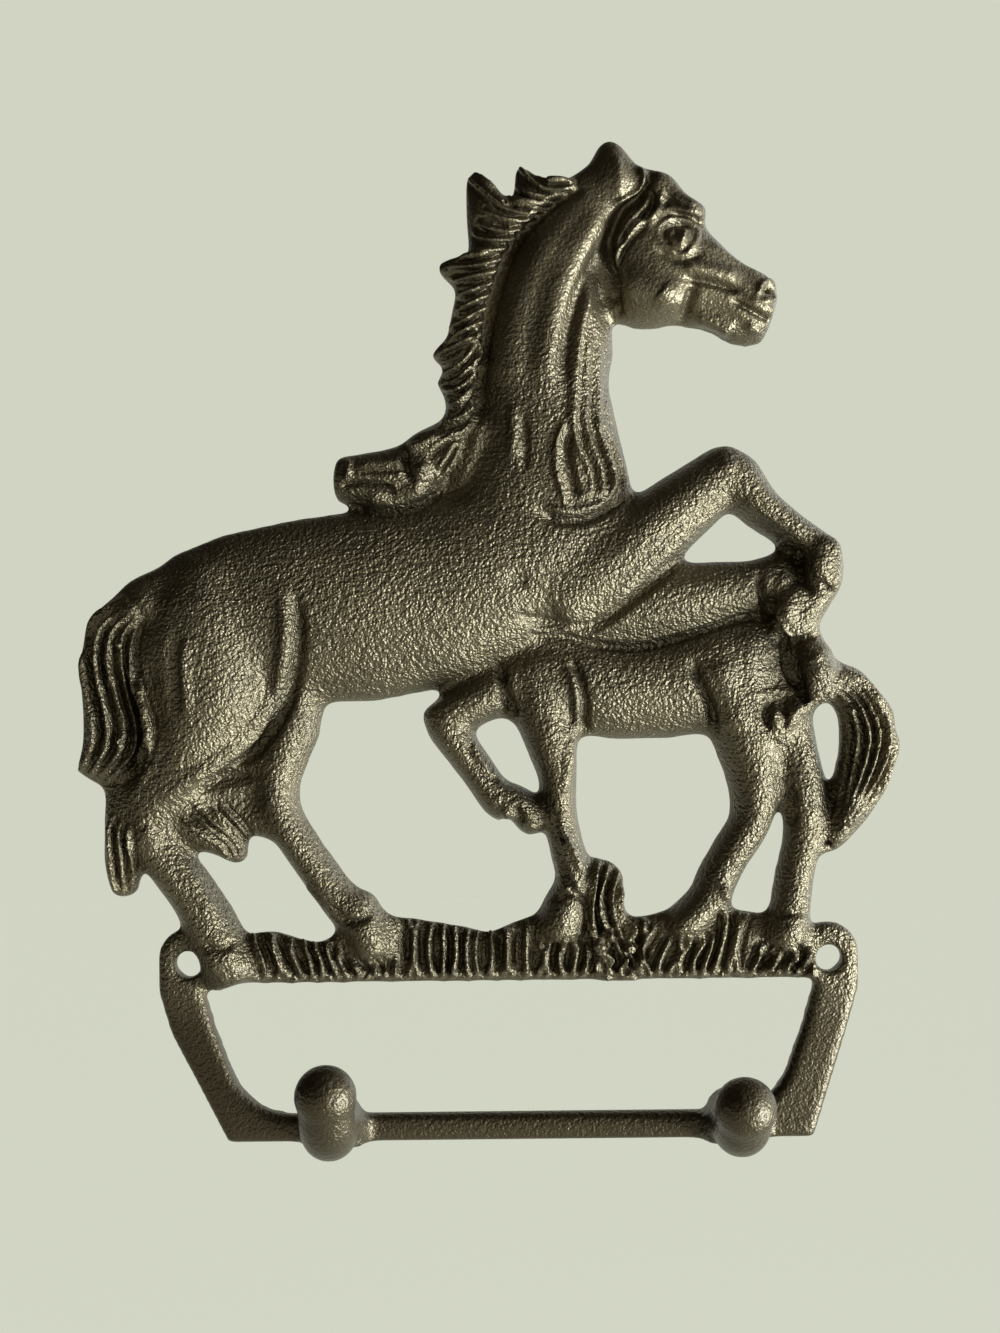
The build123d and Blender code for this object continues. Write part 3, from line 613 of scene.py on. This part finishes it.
def grass_blades():
    """Crest lines of the short blades, which lean to the left, then stand up, then lean to the right."""
    lean_x, leans = np.array(blade_leans).T
    top_x, tops = np.array(blade_tops).T
    blades = []
    for index, foot in enumerate(np.arange(blades_left, blades_right, blade_pitch)):
        foot += blade_spread * math.sin(index * blade_spread_step)
        lean = np.interp(foot, lean_x, leans)
        sway = blade_sway * math.sin(index * blade_sway_step)
        top = np.interp(foot + lean, top_x, tops)
        rise = (top - blade_foot) / 3
        blades.append([(foot, blade_foot), (foot + blade_bend * lean + sway, blade_foot + rise),
                       (foot + (1 - blade_bend) * lean + sway, top - rise), (foot + lean, top)])
    return blades


def rounded_skin():
    """Skin of the casting with its facets rounded, before any line is carved."""
    rough = merged_copy(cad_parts["hook_casting"])
    skin = Skin(modified(rough, "REMESH", {"mode": "VOXEL", "voxel_size": skin_voxel * MM}))
    on_back = skin.points[:, 1] > -back_band
    smooth_facets(skin)
    for place in hair_places:
        calm(skin, *place)
    for half_width, height, points in raised_forms:
        raise_form(skin, half_width, height, points)
    skin.points[on_back, 1] = 0
    skin.store()
    return skin


def carve(skin):
    """Carves the animals' features and hair, and the grass, into the front of the skin."""
    carving = Carving(skin)
    ridges = (head_ridges + neck_ridges + foal_head_ridges
              + haunch_ridges + foreleg_ridges + foal_ridges)
    grooves = (head_grooves + neck_grooves + foal_head_grooves
               + haunch_grooves + foreleg_grooves + foal_grooves)
    for half_width, height, points in ridges:
        carving.draw(points, half_width, height)
    for half_width, depth, points in grooves:
        carving.draw(points, half_width, -depth)
    carving.draw_locks(mane_hair, hair_half_width, hair_height)
    carving.draw_locks(strands_between(wisp_edges, wisp_strands), hair_half_width, hair_height)
    carving.draw_locks(strands_between(tail_tip_edges, tail_tip_strands), hair_half_width, hair_height)
    carving.draw_locks(strands_between(foal_tail_edges, foal_tail_strands), hair_half_width, hair_height)
    carving.draw_locks(strands_between(tail_edges, tail_strands), tail_half_width, tail_height)
    carving.draw_locks(tuft_hair + grass_blades(), blade_half_width, blade_height)
    carving.apply()


def carved_mesh():
    """Mesh of the carved casting, with no point behind the wall or outside the CAD box."""
    skin = Skin(modified(rounded_skin().mesh, "SUBSURF", {"levels": 1, "render_levels": 1}))
    on_back = skin.points[:, 1] > -back_band
    carve(skin)
    skin.points = skin.blurred(skin.points, carving_smoothing)
    skin.points[on_back, 1] = np.minimum(skin.points[on_back, 1], 0)
    low, high = (np.array(corner) / MM for corner in cad_box)
    skin.points = np.clip(skin.points, low, high)
    skin.store()
    triangles = sum(polygon.loop_total - 2 for polygon in skin.mesh.polygons)
    thinning = {"ratio": most_triangles / triangles, "use_collapse_triangulate": True}
    return modified(skin.mesh, "DECIMATE", thinning)


def iron_casting():
    """The whole casting, one piece of sand cast iron."""
    carved = carved_mesh()
    carved.shade_smooth()
    carved.materials.clear()
    carved.materials.append(sand_cast_iron())
    piece = bpy.data.objects.new("iron_casting", carved)
    bpy.context.scene.collection.objects.link(piece)
    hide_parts("hook_casting")
    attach(piece, "root")


def pale_paper():
    """Matt pale paper: shows the colour of the surround, and keeps a soft shadow of what stands over it."""
    material = bpy.data.materials.new("pale_paper")
    material.use_nodes = True
    tree = material.node_tree
    tree.nodes.clear()
    path = node(tree, "ShaderNodeLightPath")
    mirrored = node(tree, "ShaderNodeMath", {"operation": "MAXIMUM"},
                    links={0: path.outputs["Is Glossy Ray"], 1: path.outputs["Is Transmission Ray"]})
    looked_at = node(tree, "ShaderNodeMath", {"operation": "MAXIMUM"},
                     links={0: path.outputs["Is Camera Ray"], 1: mirrored.outputs[0]})
    share = node(tree, "ShaderNodeMath", {"operation": "MULTIPLY"}, {1: paper_glow},
                 {0: looked_at.outputs[0]})
    matt = node(tree, "ShaderNodeBsdfDiffuse", inputs={"Color": linear(surround_colour)})
    glow = node(tree, "ShaderNodeEmission",
                inputs={"Color": linear(surround_colour), "Strength": paper_glow_strength})
    mix = node(tree, "ShaderNodeMixShader",
               links={"Fac": share.outputs[0], 1: matt.outputs[0], 2: glow.outputs[0]})
    node(tree, "ShaderNodeOutputMaterial", links={"Surface": mix.outputs[0]})
    return material


def paper_floor():
    """Wide sheet of paper under the casting."""
    bm = bmesh.new()
    bmesh.ops.create_grid(bm, x_segments=1, y_segments=1, size=floor_reach)
    bmesh.ops.translate(bm, verts=bm.verts, vec=(0, 0, floor_height))
    mesh = bpy.data.meshes.new("paper_floor")
    bm.to_mesh(mesh)
    bm.free()
    mesh.materials.append(pale_paper())
    floor = bpy.data.objects.new("paper_floor", mesh)
    bpy.context.scene.collection.objects.link(floor)


def soft_surround():
    """Surround that is pale behind the casting, light to the right and below, dim to the left and above."""
    world = bpy.data.worlds.new("soft_surround")
    bpy.context.scene.world = world
    world.use_nodes = True
    tree = world.node_tree
    tree.nodes.clear()
    direction = node(tree, "ShaderNodeTexCoord").outputs["Generated"]
    slope = node(tree, "ShaderNodeVectorMath", {"operation": "DOT_PRODUCT"}, {1: light_side},
                 {0: direction})
    level = node(tree, "ShaderNodeMapRange", inputs={"From Min": -light_span, "From Max": light_span},
                 links={"Value": slope.outputs["Value"]})
    shade = node(tree, "ShaderNodeValToRGB", links={"Fac": level.outputs["Result"]},
                 stops=[(spot, linear(colour)) for spot, colour in surround_shades])
    behind = node(tree, "ShaderNodeSeparateXYZ", links={0: direction})
    field = node(tree, "ShaderNodeMapRange", inputs={"From Min": backdrop_start, "From Max": backdrop_full},
                 links={"Value": behind.outputs["Y"]})
    around = node(tree, "ShaderNodeBackground", inputs={"Strength": surround_strength},
                  links={"Color": shade.outputs["Color"]})
    backdrop = node(tree, "ShaderNodeBackground", inputs={"Color": linear(surround_colour)})
    mix = node(tree, "ShaderNodeMixShader",
               links={"Fac": field.outputs["Result"], 1: around.outputs[0], 2: backdrop.outputs[0]})
    node(tree, "ShaderNodeOutputWorld", links={"Surface": mix.outputs[0]})


def soft_lamp():
    """Round soft lamp that shines on the middle of the casting."""
    lamp = bpy.data.lights.new("key_lamp", "AREA")
    lamp.shape = "DISK"
    lamp.size = lamp_size
    lamp.energy = lamp_watts
    lamp.color = linear(lamp_colour)[:3]
    holder = bpy.data.objects.new("key_lamp", lamp)
    holder.location = lamp_place
    holder.rotation_euler = (lamp_target - Vector(lamp_place)).to_track_quat("-Z", "Y").to_euler()
    bpy.context.scene.collection.objects.link(holder)


def viewpoint():
    """Camera at the photograph's viewing angle."""
    lens = bpy.data.cameras.new("viewpoint")
    lens.sensor_fit = "HORIZONTAL"
    lens.sensor_width = camera_sensor_width
    lens.lens = camera_sensor_width * camera_focal_pixels / image_width
    lens.clip_start = camera_clip_start
    camera = bpy.data.objects.new("viewpoint", lens)
    camera.location = camera_place
    camera.rotation_euler = (math.pi / 2, camera_roll, 0)
    bpy.context.scene.collection.objects.link(camera)
    bpy.context.scene.camera = camera


iron_casting()
paper_floor()
soft_surround()
soft_lamp()
viewpoint()
bpy.context.scene.view_settings.view_transform = "Standard"
